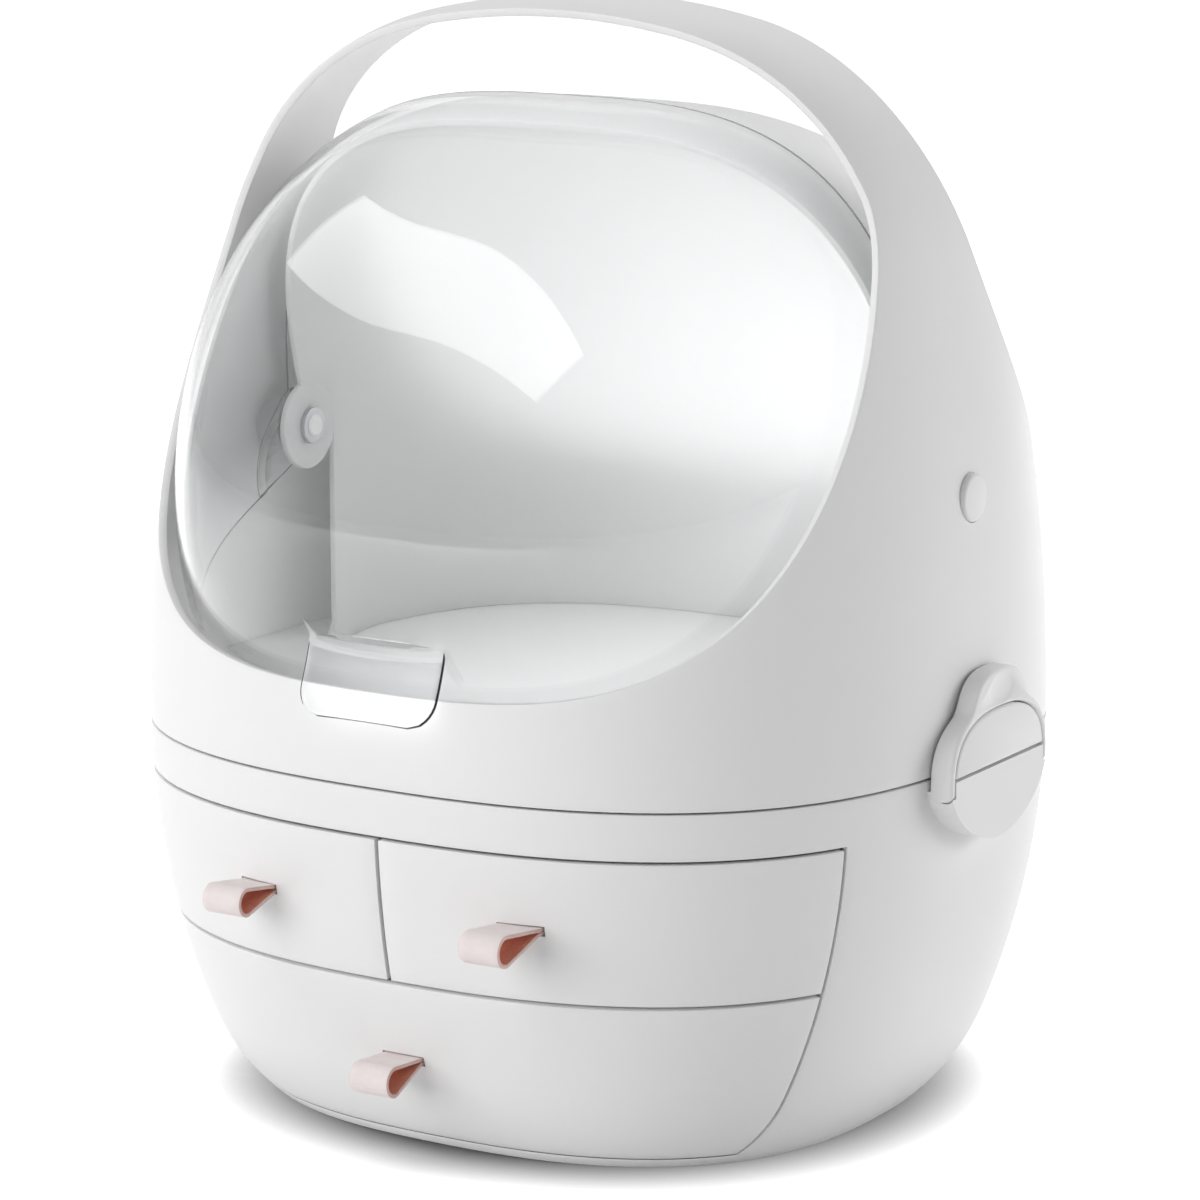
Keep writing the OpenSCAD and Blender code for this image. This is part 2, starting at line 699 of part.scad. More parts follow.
// Section of the lid's wall at the angle phi over the level of its centre
function lid_section(phi) =
    let (
        u = (phi + lid_low) / (lid_high + lid_low),
        r = lid_r + lid_grow * u,
        p = lid_p_low + (lid_p_high - lid_p_low) * u,
        outer = dome_side(r, lid_half_w, p, lid_low_r, lid_n / 2),
        inner = dome_side(r - lid_wall, lid_half_w - lid_wall, p, lid_low_r, lid_n / 2),
        section = concat(reversed(mirrored(outer)), [for (i = [1 : lid_n / 2]) outer[i]],
            reversed(inner), [for (i = [1 : lid_n / 2]) mirrored(inner)[i]])
    )
    [for (q = section) [q[1], -q[0] * cos(phi), lid_z + q[0] * sin(phi)]];

module lid_wall_form() {
    rows = [for (k = [0 : lid_steps]) lid_section(-lid_low + (lid_high + lid_low) * k / lid_steps)];
    n = len(rows[0]);
    last = lid_steps * n;
    sides = [
        for (k = [0 : lid_steps - 1], i = [0 : n - 1])
            let (j = (i + 1) % n, p = k * n, q = p + n)
                each [[p + i, q + i, q + j], [p + i, q + j, p + j]]
    ];
    ends = [
        for (i = [0 : n / 2 - 2])
            each [
                [i, i + 1, n - 2 - i, n - 1 - i],
                [last + n - 1 - i, last + n - 2 - i, last + i + 1, last + i]
            ]
    ];
    polyhedron([for (r = rows) each r], concat(sides, ends), convexity = 8);
}

// Side view of an ear: from the lid's wall in to the pivot
module ear_outline() {
    polygon(concat(
        [for (i = [0 : ear_steps])
            let (phi = -lid_low + (lid_high + lid_low) * i / ear_steps)
                [-ear_reach * cos(phi), lid_z + ear_reach * sin(phi)]],
        [for (t = [10, -80]) [ear_r * cos(t), pivot_z + ear_r * sin(t)]]
    ));
    translate([0, pivot_z]) circle(r = ear_r);
}

// Curved-in tab over the front sill, with round corners
module finger_tab() {
    root = -sqrt(lid_r * lid_r - pow(tab_top - lid_z, 2)) + lid_wall / 2;
    low = root - tab_out - tab_t / 2;
    intersection() {
        across(-tab_w / 2, tab_w / 2) polygon([
            [root, tab_top], [root - tab_t, tab_top], [low - tab_t, tab_top - tab_h], [low, tab_top - tab_h]
        ]);
        rotate([90, 0, 0]) linear_extrude(far) union() {
            translate([-tab_w / 2 + tab_round, tab_top - tab_h])
                square([tab_w - 2 * tab_round, tab_h]);
            translate([-tab_w / 2, tab_top - tab_h + tab_round]) square([tab_w, tab_h]);
            for (x = [-1, 1]) translate([x * (tab_w / 2 - tab_round), tab_top - tab_h + tab_round])
                circle(r = tab_round);
        }
    }
}

// Clear visor: a thin curved wall, two ears with the pivot bores and the finger tab
module clear_lid() {
    color(clear) difference() {
        union() {
            lid_wall_form();
            for (side = [-1, 1]) on_side(side) across(ear_in, lid_half_w) ear_outline();
            finger_tab();
        }
        for (side = [-1, 1]) on_side(side)
            rod_x(ear_in - 1, lid_half_w + 1, 0, pivot_z, pin_d + 2 * pin_fit);
    }
}

// Pin with a round cap: it passes the side, the lid's ear and the dome's cheek
module pivot_pin(side) {
    color(white) on_side(side) {
        rod_x(cap_seat, cap_seat + cap_t, 0, pivot_z, cap_d);
        rod_x(pin_end, cap_seat + eps, 0, pivot_z, pin_d);
    }
}
module pivot_pin_left() { pivot_pin(-1); }
module pivot_pin_right() { pivot_pin(1); }

// Retaining rings on the inner ends of the pins
module pivot_clips() {
    color(steel) for (side = [-1, 1]) on_side(side) difference() {
        rod_x(pin_end + clip_past, pin_end + clip_past + clip_t, 0, pivot_z, clip_d);
        rod_x(pin_end, pin_end + clip_past + clip_t + 1, 0, pivot_z, pin_d);
    }
}

// ---- Latches ----

// Hoop that snaps over the boss: round ends on the hinge, thin sides and a thumb tab
module latch_hoop(side) {
    color(white) on_side(side) difference() {
        union() {
            difference() {
                across(hoop_back, boss_face) union() {
                    boss_outline(0);
                    translate([0, seam_z + thumb_up]) circle(r = thumb_r);
                }
                translate([0, -far / 2, hinge_z - far]) cube([far, far, far]);
            }
            rod_y(-boss_r, boss_r, hinge_x, hinge_z, 2 * hinge_r);
        }
        across(hoop_back - 1, boss_face + 1) {
            boss_outline(hoop_w);
            // straight sides under the widest place, so that the ends can turn past the boss
            translate([hoop_w - boss_r, hinge_z - far]) square([2 * (boss_r - hoop_w), far + boss_turn]);
        }
        // trims the round ends to the width of the hoop
        difference() {
            translate([0, -far / 2, hinge_z - hinge_r - 1]) cube([far, far, hinge_r + 1]);
            across(0, far) boss_outline(0);
        }
        hinge_pair() cylinder(d = hinge_d + 2 * pin_fit, h = far);
    }
}
module latch_hoop_left() { latch_hoop(-1); }
module latch_hoop_right() { latch_hoop(1); }

module latch_pins(side) {
    color(steel) on_side(side) hinge_pair() cylinder(d = hinge_d, h = hinge_root + core_in - 0.3);
}
module latch_pins_left() { latch_pins(-1); }
module latch_pins_right() { latch_pins(1); }

base_shell();
drawer_chassis();
deck_panel();
rubber_feet();
chassis_screws();
tray_left();
tray_right();
tray_lower();
front_left();
front_right();
front_lower();
pull_left();
pull_right();
pull_lower();
pull_bar_left();
pull_bar_right();
pull_bar_lower();
upper_shell();
compartment_floor();
rear_dome();
clear_lid();
pivot_pin_left();
pivot_pin_right();
pivot_clips();
latch_hoop_left();
latch_hoop_right();
latch_pins_left();
latch_pins_right();
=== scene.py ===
import math

import bmesh
import bpy
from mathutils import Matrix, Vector


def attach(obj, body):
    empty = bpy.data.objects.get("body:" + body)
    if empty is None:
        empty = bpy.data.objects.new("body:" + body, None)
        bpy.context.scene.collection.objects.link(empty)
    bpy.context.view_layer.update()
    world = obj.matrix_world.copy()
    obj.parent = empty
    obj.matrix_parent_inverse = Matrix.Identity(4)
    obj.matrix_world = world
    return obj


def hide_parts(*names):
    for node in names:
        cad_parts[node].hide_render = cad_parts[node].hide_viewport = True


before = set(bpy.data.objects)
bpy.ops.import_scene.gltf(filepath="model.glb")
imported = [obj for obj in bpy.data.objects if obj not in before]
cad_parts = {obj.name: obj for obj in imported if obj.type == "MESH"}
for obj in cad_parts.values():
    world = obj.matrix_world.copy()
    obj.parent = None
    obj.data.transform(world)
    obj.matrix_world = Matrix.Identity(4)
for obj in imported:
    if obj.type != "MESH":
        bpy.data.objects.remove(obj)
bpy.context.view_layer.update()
bpy.ops.object.select_all(action="DESELECT")

# ---- Camera ----
# A long lens looks down a little on the front and the right side.
aim = Vector((0.0, 0.0, 0.170))
bpy.ops.object.camera_add(location=(0.8811, -1.4333, 0.5273))
camera = bpy.context.object
camera.rotation_euler = (aim - camera.location).to_track_quat("-Z", "Y").to_euler()
camera.data.sensor_width = 36
camera.data.lens = 147.5
camera.data.clip_end = 20
bpy.context.scene.camera = camera

# ---- Daylight, lamps and floor ----
# A white surround, a wide softbox high on the left, lamps in front, on the right and behind,
# and a pale floor that keeps the shadow under the body, with a painted contact shadow near it that fades to white
# further out.
reflected_share = 0.55


def sight(tree):
    """How far a ray sees the white surround: fully by eye and through clear plastic, partly in a reflection."""
    ray = tree.nodes.new("ShaderNodeLightPath")
    reflection = tree.nodes.new("ShaderNodeMath")
    reflection.operation = "MULTIPLY"
    reflection.inputs[1].default_value = reflected_share
    either = tree.nodes.new("ShaderNodeMath")
    either.operation = "MAXIMUM"
    any_of = tree.nodes.new("ShaderNodeMath")
    any_of.operation = "MAXIMUM"
    tree.links.new(ray.outputs["Is Glossy Ray"], reflection.inputs[0])
    tree.links.new(ray.outputs["Is Camera Ray"], either.inputs[0])
    tree.links.new(reflection.outputs[0], either.inputs[1])
    tree.links.new(either.outputs[0], any_of.inputs[0])
    tree.links.new(ray.outputs["Is Transmission Ray"], any_of.inputs[1])
    return any_of.outputs[0]


bpy.context.scene.view_settings.view_transform = "Standard"
surround = bpy.data.worlds.new("surround")
bpy.context.scene.world = surround
surround.use_nodes = True
sky = surround.node_tree
sky.nodes.clear()
mix = sky.nodes.new("ShaderNodeMixShader")
for socket, strength in ((1, 0.18), (2, 1.0)):
    level = sky.nodes.new("ShaderNodeBackground")
    level.inputs["Color"].default_value = (1, 1, 1, 1)
    level.inputs["Strength"].default_value = strength
    sky.links.new(level.outputs[0], mix.inputs[socket])
out = sky.nodes.new("ShaderNodeOutputWorld")
sky.links.new(sight(sky), mix.inputs[0])
sky.links.new(mix.outputs[0], out.inputs["Surface"])

lamp_aim = Vector((0, 0, 0.25))
for name, place, wide, high, power in (
    ("softbox_over_the_left", (-1.11, -1.03, 2.07), 3.2, 0.85, 19),
    ("lamp_front", (-0.8, -2.3, 0.85), 2.0, 1.4, 33),
    ("lamp_right", (2.0, 1.45, 0.75), 1.6, 1.2, 29),
    ("lamp_behind", (-0.6, 2.0, 1.7), 2.2, 1.6, 36),
):
    bpy.ops.object.light_add(type="AREA", location=place)
    lamp = bpy.context.object
    lamp.name = name
    lamp.data.shape = "RECTANGLE"
    lamp.data.size = wide
    lamp.data.size_y = high
    lamp.data.energy = power
    lamp.rotation_euler = (lamp_aim - Vector(place)).to_track_quat("-Z", "Y").to_euler()
    lamp.visible_glossy = lamp.visible_transmission = name.startswith("softbox")

floor_z = -0.0003
bpy.ops.mesh.primitive_circle_add(vertices=96, radius=6, fill_type="NGON", location=(0, 0, floor_z))
floor = bpy.context.object
floor.name = "floor"
paper = bpy.data.materials.new("pale_floor")
paper.use_nodes = True
tree = paper.node_tree
tree.nodes.clear()
shadow_painted_matt = tree.nodes.new("ShaderNodeBsdfDiffuse")
bounce = tree.nodes.new("ShaderNodeBsdfDiffuse")
bounce.inputs["Color"].default_value = (0.88, 0.88, 0.88, 1)
# Painted contact shadow: an occlusion node darkens the floor's colour close to the body.
near = tree.nodes.new("ShaderNodeAmbientOcclusion")
near.inputs["Distance"].default_value = 0.035
near.samples = 12
shade = tree.nodes.new("ShaderNodeMapRange")
shade.inputs["From Min"].default_value = 0.35
shade.inputs["To Min"].default_value = 0.2
shade.inputs["To Max"].default_value = 0.86
place = tree.nodes.new("ShaderNodeTexCoord")
far_off = tree.nodes.new("ShaderNodeVectorMath")
far_off.operation = "LENGTH"
# The camera-seen glow comes in only from 105 mm out, so near the body the floor is left darker as painted shadow.
fade = tree.nodes.new("ShaderNodeMapRange")
fade.inputs["From Min"].default_value = 0.105
fade.inputs["From Max"].default_value = 0.15
glow = tree.nodes.new("ShaderNodeEmission")
both = tree.nodes.new("ShaderNodeAddShader")
pick = tree.nodes.new("ShaderNodeMixShader")
out = tree.nodes.new("ShaderNodeOutputMaterial")
tree.links.new(near.outputs["AO"], shade.inputs["Value"])
tree.links.new(shade.outputs["Result"], shadow_painted_matt.inputs["Color"])
tree.links.new(place.outputs["Object"], far_off.inputs[0])
tree.links.new(far_off.outputs["Value"], fade.inputs["Value"])
tree.links.new(fade.outputs["Result"], glow.inputs["Strength"])
tree.links.new(glow.outputs[0], both.inputs[0])
tree.links.new(shadow_painted_matt.outputs[0], both.inputs[1])
tree.links.new(sight(tree), pick.inputs[0])
tree.links.new(bounce.outputs[0], pick.inputs[1])
tree.links.new(both.outputs[0], pick.inputs[2])
tree.links.new(pick.outputs[0], out.inputs["Surface"])
floor.data.materials.append(paper)
bpy.ops.object.select_all(action="DESELECT")

# ---- Base bowl ----
# White moulded bowl that stands on the table. Its front is open for the drawers, under a plain band; the
# wall is 3 mm thick and its rims are rounded a little. Sizes are in millimetres from here on, times mm.
mm = 0.001
seam_z = 132.0
box_half_w, box_half_d = 150.0, 141.0
less_deep = box_half_w - box_half_d
plan_power = 2.53
wall = 3.0
belly_r, foot_r, foot_turn_z = 300.0, 70.0, 28.0
belly_x = box_half_w - belly_r
turn = math.asin((seam_z - foot_turn_z) / belly_r)
foot_x = belly_x + (belly_r - foot_r) * math.cos(turn)
foot_z = seam_z - (belly_r - foot_r) * math.sin(turn)
open_y = 71.0
drawer_top = 116.0
foot_lip = 4.0


def bowl_half_width(z):
    if z > foot_z - foot_r * math.sin(turn):
        return belly_x + math.sqrt(belly_r**2 - (min(z, seam_z) - seam_z) ** 2)
    return foot_x + math.sqrt(foot_r**2 - (z - foot_z) ** 2)


def plan_point(half_w, half_d, angle):
    """Point of the plan outline, angle from the front towards +X."""
    s, c = math.sin(angle), math.cos(angle)
    x = half_w * math.copysign(abs(s) ** (2 / plan_power), s)
    y = -half_d * math.copysign(abs(c) ** (2 / plan_power), c)
    return x, y


def bowl_point(z, angle):
    a = bowl_half_width(z)
    x, y = plan_point(a, a - less_deep, angle)
    return Vector((x, y, z))


def angle_at_depth(half_d, y):
    """Angle from the front at which the outline is y ahead of the middle."""
    return math.acos(min(1.0, (y / half_d)) ** (plan_power / 2))


def spread(start, end, count):
    return [start + (end - start) * i / count for i in range(count + 1)]


def sheet_piece(name, rows, closed=False):
    """Grid primitive with its points set on the given rows; closed rows meet end to end."""
    across = len(rows[0])
    bpy.ops.mesh.primitive_grid_add(x_subdivisions=across - 1, y_subdivisions=len(rows) - 1, size=2)
    piece = bpy.context.object
    piece.name = piece.data.name = name
    for i, vert in enumerate(piece.data.vertices):
        vert.co = rows[i // across][i % across] * mm
    if closed:
        bpy.ops.object.mode_set(mode="EDIT")
        bpy.ops.mesh.select_all(action="SELECT")
        bpy.ops.mesh.remove_doubles(threshold=1e-6)
        bpy.ops.object.mode_set(mode="OBJECT")
    return piece


def face_outwards(piece, centre):
    """Turns the open sheet so that its faces look away from the centre, which is in metres."""
    mesh = piece.data
    score = sum((p.center - centre).dot(p.normal) * p.area for p in mesh.polygons)
    if score < 0:
        mesh.flip_normals()


def picked(piece):
    """Makes the piece the active and the only selected one."""
    bpy.ops.object.select_all(action="DESELECT")
    piece.select_set(True)
    bpy.context.view_layer.objects.active = piece


def with_modifier(piece, kind, **values):
    picked(piece)
    mod = piece.modifiers.new(kind.lower(), kind)
    for key, value in values.items():
        setattr(mod, key, value)
    bpy.ops.object.modifier_apply(modifier=mod.name)


def round_off(piece, width, segments, angle, **values):
    """Rounds every edge that is sharper than the angle."""
    limit = {"limit_method": "ANGLE", "angle_limit": math.radians(angle)}
    with_modifier(piece, "BEVEL", width=width * mm, segments=segments, **limit, **values)


def thicken(piece, thickness, rim, **values):
    """Gives the sheet its wall, inwards, and rounds the edges of the rims."""
    even = {"offset": -1, "use_even_offset": True, "use_quality_normals": True}
    with_modifier(piece, "SOLIDIFY", thickness=thickness * mm, **even, **values)
    round_off(piece, rim, 2, 40, use_clamp_overlap=False)


def block(centre, size):
    bpy.ops.mesh.primitive_cube_add(size=1, location=[c * mm for c in centre])
    cutter = bpy.context.object
    cutter.scale = [s * mm for s in size]
    bpy.ops.object.transform_apply()
    return cutter


def rod(centre, radius, length, lie=(0, 0, 0), sides=64):
    bpy.ops.mesh.primitive_cylinder_add(vertices=sides, radius=radius * mm, depth=length * mm, rotation=lie)
    cutter = bpy.context.object
    cutter.location = [c * mm for c in centre]
    bpy.ops.object.transform_apply()
    return cutter


def cut_away(piece, cutter):
    """Takes the cutter's shape out of the piece and deletes the cutter."""
    with_modifier(piece, "BOOLEAN", object=cutter, operation="DIFFERENCE", solver="EXACT")
    bpy.data.objects.remove(cutter)


side_columns, mouth_columns = 96, 60
side_levels = [0.0, 1.2, 2.6, foot_lip]
side_levels += [foot_lip + (drawer_top - foot_lip) * k**1.25 for k in spread(0, 1, 30)[1:]]
side_levels += spread(drawer_top, seam_z - 0.4, 5)[1:]


def bowl_row(z):
    edge = angle_at_depth(bowl_half_width(z) - less_deep, open_y)
    rear = spread(edge, 2 * math.pi - edge, side_columns)
    ahead = spread(-edge, edge, mouth_columns)[1:]
    return [bowl_point(z, t) for t in rear + ahead]


sole = bowl_row(0.0)
rows = [[Vector((p.x * s, p.y * s, 0)) for p in sole] for s in (0.12, 0.35, 0.6, 0.8, 0.92, 0.985)]
rows += [bowl_row(z) for z in side_levels]
bowl = sheet_piece("base_bowl", rows, closed=True)
bpy.ops.object.mode_set(mode="EDIT")
mesh = bmesh.from_edit_mesh(bowl.data)
innermost_r = 16.5 * mm
inner_ring = [v for v in mesh.verts if v.co.z < 1e-6 and v.co.xy.length < innermost_r]
bmesh.ops.contextual_create(mesh, geom=inner_ring)
mouth = []
for face in mesh.faces:
    mid = face.calc_center_median() / mm
    if foot_lip < mid.z < drawer_top and mid.y < -open_y:
        mouth.append(face)
bmesh.ops.delete(mesh, geom=mouth, context="FACES")
bmesh.update_edit_mesh(bowl.data)
bpy.ops.object.mode_set(mode="OBJECT")
face_outwards(bowl, Vector((0, 0, 0.07)))
thicken(bowl, wall, rim=0.3)

# The mouth's rims are trimmed flat, so that the lower tray slides over the foot lip.
trim, block_deep = 0.02, 120.0
mouth_centre = (0, -(open_y + trim + block_deep / 2), (drawer_top + foot_lip) / 2)
cut_away(bowl, block(mouth_centre, (400, block_deep, drawer_top - foot_lip - 2 * trim)))

pad_place, screw_place, drill_long = (72.0, 62.0), (93.0, 40.0), 10.0
for (x, y), radius, deep in ((pad_place, 9.1, 1.6), (screw_place, 3.1, 2.0), (screw_place, 1.6, 8.0)):
    for across, along in ((1, 1), (1, -1), (-1, 1), (-1, -1)):
        cut_away(bowl, rod((across * x, along * y, deep - drill_long / 2), radius, drill_long, sides=48))
white_parts = [bowl]
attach(bowl, "organizer")
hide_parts("base_shell")

# ---- Lip and latch bosses of the base ----
# A thin lip stands inside the seam and centres the upper box; its dark grey is painted shade, so the seam gap reads
# as a dark line. On each side the lower half of a round boss grows out of the wall, with two round sockets for the
# feet of the hoop.
lip_top, lip_foot, lip_wall, lip_play = 137.0, 124.5, 2.0, 0.35
inset = wall + lip_play
ring = [plan_point(box_half_w - inset, box_half_d - inset, t) for t in spread(0, 2 * math.pi, 160)]
rows = [[Vector((x, y, z)) for x, y in ring] for z in (lip_foot, seam_z - 1, seam_z + 1, lip_top)]
lip = sheet_piece("centring_lip", rows, closed=True)
face_outwards(lip, Vector((0, 0, 0.13)))
thicken(lip, lip_wall, rim=0.4)


def new_material(name):
    """A material, its node tree, its main shader and the piece's own coordinates."""
    mat = bpy.data.materials.new(name)
    mat.use_nodes = True
    tree = mat.node_tree
    place = tree.nodes.new("ShaderNodeTexCoord")
    return mat, tree, tree.nodes["Principled BSDF"], place.outputs["Object"]


def noise(tree, place, scale, detail):
    cloud = tree.nodes.new("ShaderNodeTexNoise")
    cloud.inputs["Scale"].default_value = scale
    cloud.inputs["Detail"].default_value = detail
    tree.links.new(place, cloud.inputs["Vector"])
    return cloud.outputs["Fac"]


def between(tree, value, low, high):
    """The value, stretched from the range 0 to 1 to the range low to high."""
    span = tree.nodes.new("ShaderNodeMapRange")
    span.inputs["To Min"].default_value = low
    span.inputs["To Max"].default_value = high
    tree.links.new(value, span.inputs["Value"])
    return span.outputs["Result"]


def two_tones(tree, value, start, deep, end, pale):
    tone = tree.nodes.new("ShaderNodeValToRGB")
    for stop, position, colour in zip(tone.color_ramp.elements, (start, end), (deep, pale)):
        stop.position = position
        stop.color = list(colour) + [1]
    tree.links.new(value, tone.inputs["Fac"])
    return tone.outputs["Color"]


def roughen(tree, skin, height, strength, distance):
    bump = tree.nodes.new("ShaderNodeBump")
    bump.inputs["Strength"].default_value = strength
    bump.inputs["Distance"].default_value = distance
    tree.links.new(height, bump.inputs["Height"])
    tree.links.new(bump.outputs["Normal"], skin.inputs["Normal"])


def moulded_plastic(name, colour, rough=0.34, grain=0.05):
    """Satin moulded plastic: a faint orange-peel surface and a very faint change of shade."""
    mat, tree, skin, place = new_material(name)
    skin.inputs["Specular IOR Level"].default_value = 0.22
    cloud = noise(tree, place, 9, 3)
    tone = two_tones(tree, cloud, 0.3, [c * 0.985 for c in colour], 0.7, colour)
    tree.links.new(tone, skin.inputs["Base Color"])
    tree.links.new(between(tree, cloud, rough - 0.03, rough + 0.04), skin.inputs["Roughness"])
    roughen(tree, skin, noise(tree, place, 900, 2), grain, 0.0004)
    return mat


white_shell = moulded_plastic("white_shell_plastic", (0.85, 0.85, 0.85))
# The lip's dark grey is painted shade for the seam gap, not a seal band.
painted_seam_shade_grey = moulded_plastic("lip_painted_seam_shade", (0.10, 0.10, 0.105), rough=0.7, grain=0.2)
lip.data.materials.append(painted_seam_shade_grey)

boss_half, boss_drop, boss_up, boss_down = 34.8, 2.0, 22.0, 25.5
boss_root, boss_face, boss_rim = 147.5, 157.5, 0.9
boss_gap = 0.4
hoop_w, hoop_play = 2.6, 0.5
core_in = hoop_w + hoop_play
hinge_x, hinge_z, hinge_r = 154.25, 128.0, 3.25


def boss_form(is_upper):
    """Power and height of the boss's outline over its widest level, or under it."""
    return (2.5, boss_up + boss_drop) if is_upper else (1.8, boss_down - boss_drop)


def boss_point(angle, w):
    """Point (Y, Z over the seam) of the boss's outline, w inside it; the angle runs from the back over the top."""
    c, s = math.cos(angle), math.sin(angle)
    power, rise = boss_form(s >= 0)
    y = (boss_half - w) * math.copysign(abs(c) ** (2 / power), c)
    z = (rise - w) * math.copysign(abs(s) ** (2 / power), s) - boss_drop
    return y, z


def boss_angle(z, w):
    """Angle at the back at which the outline has the height z over the seam."""
    power, rise = boss_form(z >= -boss_drop)
    return math.copysign(math.asin((abs(z + boss_drop) / (rise - w)) ** (power / 2)), z + boss_drop)


def side_slab(name, outline, x_in, x_out):
    """Plate with an outline (Y, Z over the seam) seen from the side, between two places across."""
    bpy.ops.object.select_all(action="DESELECT")
    bpy.ops.mesh.primitive_circle_add(vertices=len(outline), fill_type="NGON")
    slab = bpy.context.object
    slab.name = slab.data.name = name
    for vert, (y, z) in zip(slab.data.vertices, outline):
        vert.co = Vector((x_in, y, z + seam_z)) * mm
    bpy.ops.object.mode_set(mode="EDIT")
    bpy.ops.mesh.select_all(action="SELECT")
    bpy.ops.mesh.extrude_region_move(TRANSFORM_OT_translate={"value": ((x_out - x_in) * mm, 0, 0)})
    bpy.ops.mesh.select_all(action="SELECT")
    bpy.ops.mesh.normals_make_consistent(inside=False)
    bpy.ops.object.mode_set(mode="OBJECT")
    return slab


def left_copy(piece, name):
    """The same piece mirrored to the left side, with a mesh of its own."""
    picked(piece)
    bpy.ops.object.duplicate()
    twin = bpy.context.object
    twin.name = twin.data.name = name
    twin.scale.x = -1
    bpy.ops.object.transform_apply(location=False, rotation=False, scale=True)
    bpy.ops.object.mode_set(mode="EDIT")
    bpy.ops.mesh.select_all(action="SELECT")
    bpy.ops.mesh.normals_make_consistent(inside=False)
    bpy.ops.object.mode_set(mode="OBJECT")
    return twin


def joined(name, pieces):
    picked(pieces[0])
    for piece in pieces:
        piece.select_set(True)
    bpy.ops.object.join()
    pieces[0].name = pieces[0].data.name = name
    return pieces[0]


def smooth(piece, angle=35):
    picked(piece)
    bpy.ops.object.shade_smooth_by_angle(angle=math.radians(angle))


arc_start = boss_angle(-boss_gap, 0)
outline = [boss_point(t, 0) for t in spread(arc_start, -math.pi - arc_start, 72)]
low_boss = side_slab("low_boss_right", outline, boss_root, boss_face)
lie_along = (math.pi / 2, 0, 0)
for side in (1, -1):
    socket_y = side * (boss_half - core_in + 5)
    cut_away(low_boss, block((150, socket_y, hinge_z + 10), (20, 10, 20)))
    cut_away(low_boss, rod((hinge_x, socket_y, hinge_z), hinge_r + hoop_play, 10, lie_along))
round_off(low_boss, boss_rim, 3, 50)
low_boss_left = left_copy(low_boss, "low_boss_left")
for boss in (low_boss, low_boss_left):
    boss.data.materials.clear()
    boss.data.materials.append(white_shell)
base_trim = joined("base_lip_and_bosses", [lip, low_boss, low_boss_left])
smooth(base_trim)
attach(base_trim, "organizer")
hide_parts("base_shell")

# ---- Drawer fronts ----
# Three fronts moulded to the bowl's curve, 3 mm thick, with even gaps between them and
# a slit in each for its leather pull.
half_gap, outer_gap, foot_gap = 0.7, 1.2, 0.5
split_z = 64.5
slit_w, slit_h = 16.5, 3.5


def angle_at_width(half_w, x):
    """Angle from the front at which the outline is x to the right of the middle."""
    return math.asin((x / half_w) ** (plan_power / 2))


def drawer_front(name, x_from, z_low, z_high, slit_x, slit_z, columns, levels):
    """Front from x_from to the right end of the mouth; from end to end if x_from is None."""
    rows = []
    for z in spread(z_low, z_high, levels):
        a = bowl_half_width(z)
        end = angle_at_depth(a - less_deep, open_y + outer_gap)
        start = -end if x_from is None else angle_at_width(a, x_from)
        rows.append([bowl_point(z, t) for t in spread(start, end, columns)])
    front = sheet_piece(name, rows)
    face_outwards(front, Vector((0, 0.05, 0.05)))
    thicken(front, wall, rim=0.25)
    cut_away(front, block((slit_x, -125, slit_z), (slit_w, 60, slit_h)))
    return front


pull_places = {"right": (52.0, 90.5), "left": (-52.0, 90.5), "lower": (0.0, 36.0)}
upper_span = (split_z + half_gap, drawer_top - outer_gap)
lower_span = (foot_lip + foot_gap, split_z - half_gap)
front_right = drawer_front("drawer_front_right", half_gap, *upper_span, *pull_places["right"], 44, 14)
front_left = left_copy(front_right, "drawer_front_left")
front_lower = drawer_front("drawer_front_lower", None, *lower_span, *pull_places["lower"], 84, 22)
for side, front in (("right", front_right), ("left", front_left), ("lower", front_lower)):
    white_parts.append(front)
    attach(front, "drawer_" + side)
    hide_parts("front_" + side)

# ---- Leather pulls ----
# A strip of thin split leather folded back on itself: it leaves the slit, rises into a drop-shaped
# loop and goes back in. The face is pale pink, the back side russet and the cut edges rose.
pull_width, strip_t = 15.0, 1.3
strip_bulge = 0.0012


def dressed_leather(name, colour, deep, rough, grain):
    """Leather with a soft mottle and fine pores."""
    mat, tree, skin, place = new_material(name)
    skin.inputs["Roughness"].default_value = rough
    skin.inputs["Specular IOR Level"].default_value = 0.3
    tone = two_tones(tree, noise(tree, place, 160, 5), 0.35, deep, 0.65, colour)
    tree.links.new(tone, skin.inputs["Base Color"])
    pores = tree.nodes.new("ShaderNodeTexVoronoi")
    pores.inputs["Scale"].default_value = 1400
    tree.links.new(place, pores.inputs["Vector"])
    roughen(tree, skin, pores.outputs["Distance"], grain, 0.0003)
    return mat


leathers = [
    dressed_leather("pale_pink_leather", (0.86, 0.79, 0.78), (0.83, 0.74, 0.73), 0.5, 0.35),
    dressed_leather("russet_leather_back", (0.88, 0.46, 0.35), (0.77, 0.37, 0.27), 0.75, 0.6),
    dressed_leather("rose_leather_edge", (0.80, 0.60, 0.56), (0.73, 0.52, 0.47), 0.6, 0.4),
]


def loop_path(reach, drop, r):
    """Middle of the strip, seen from the side [forward, up] from the slit: out and up, round and straight back in."""
    r -= strip_t / 2
    rest = strip_t / 2 + 0.02
    top = r - drop
    points = [(-4.6, rest), (-1.5, rest), (0.4, rest + 0.05)]
    points += [(reach * k, rest + (top - rest) * k**0.9) for k in (0.2, 0.4, 0.6, 0.8)]
    for deg in range(84, -108, -12):
        t = math.radians(deg)
        points.append((reach + 1.03 * r * math.cos(t), -drop + 1.03 * r * math.sin(t)))
    low = points[-1]
    points += [(low[0] * k, -rest + (low[1] + rest) * k) for k in (0.75, 0.5, 0.25, 0.1)]
    return points + [(0.2, -rest - 0.03), (-1.5, -rest), (-4.6, -rest)]


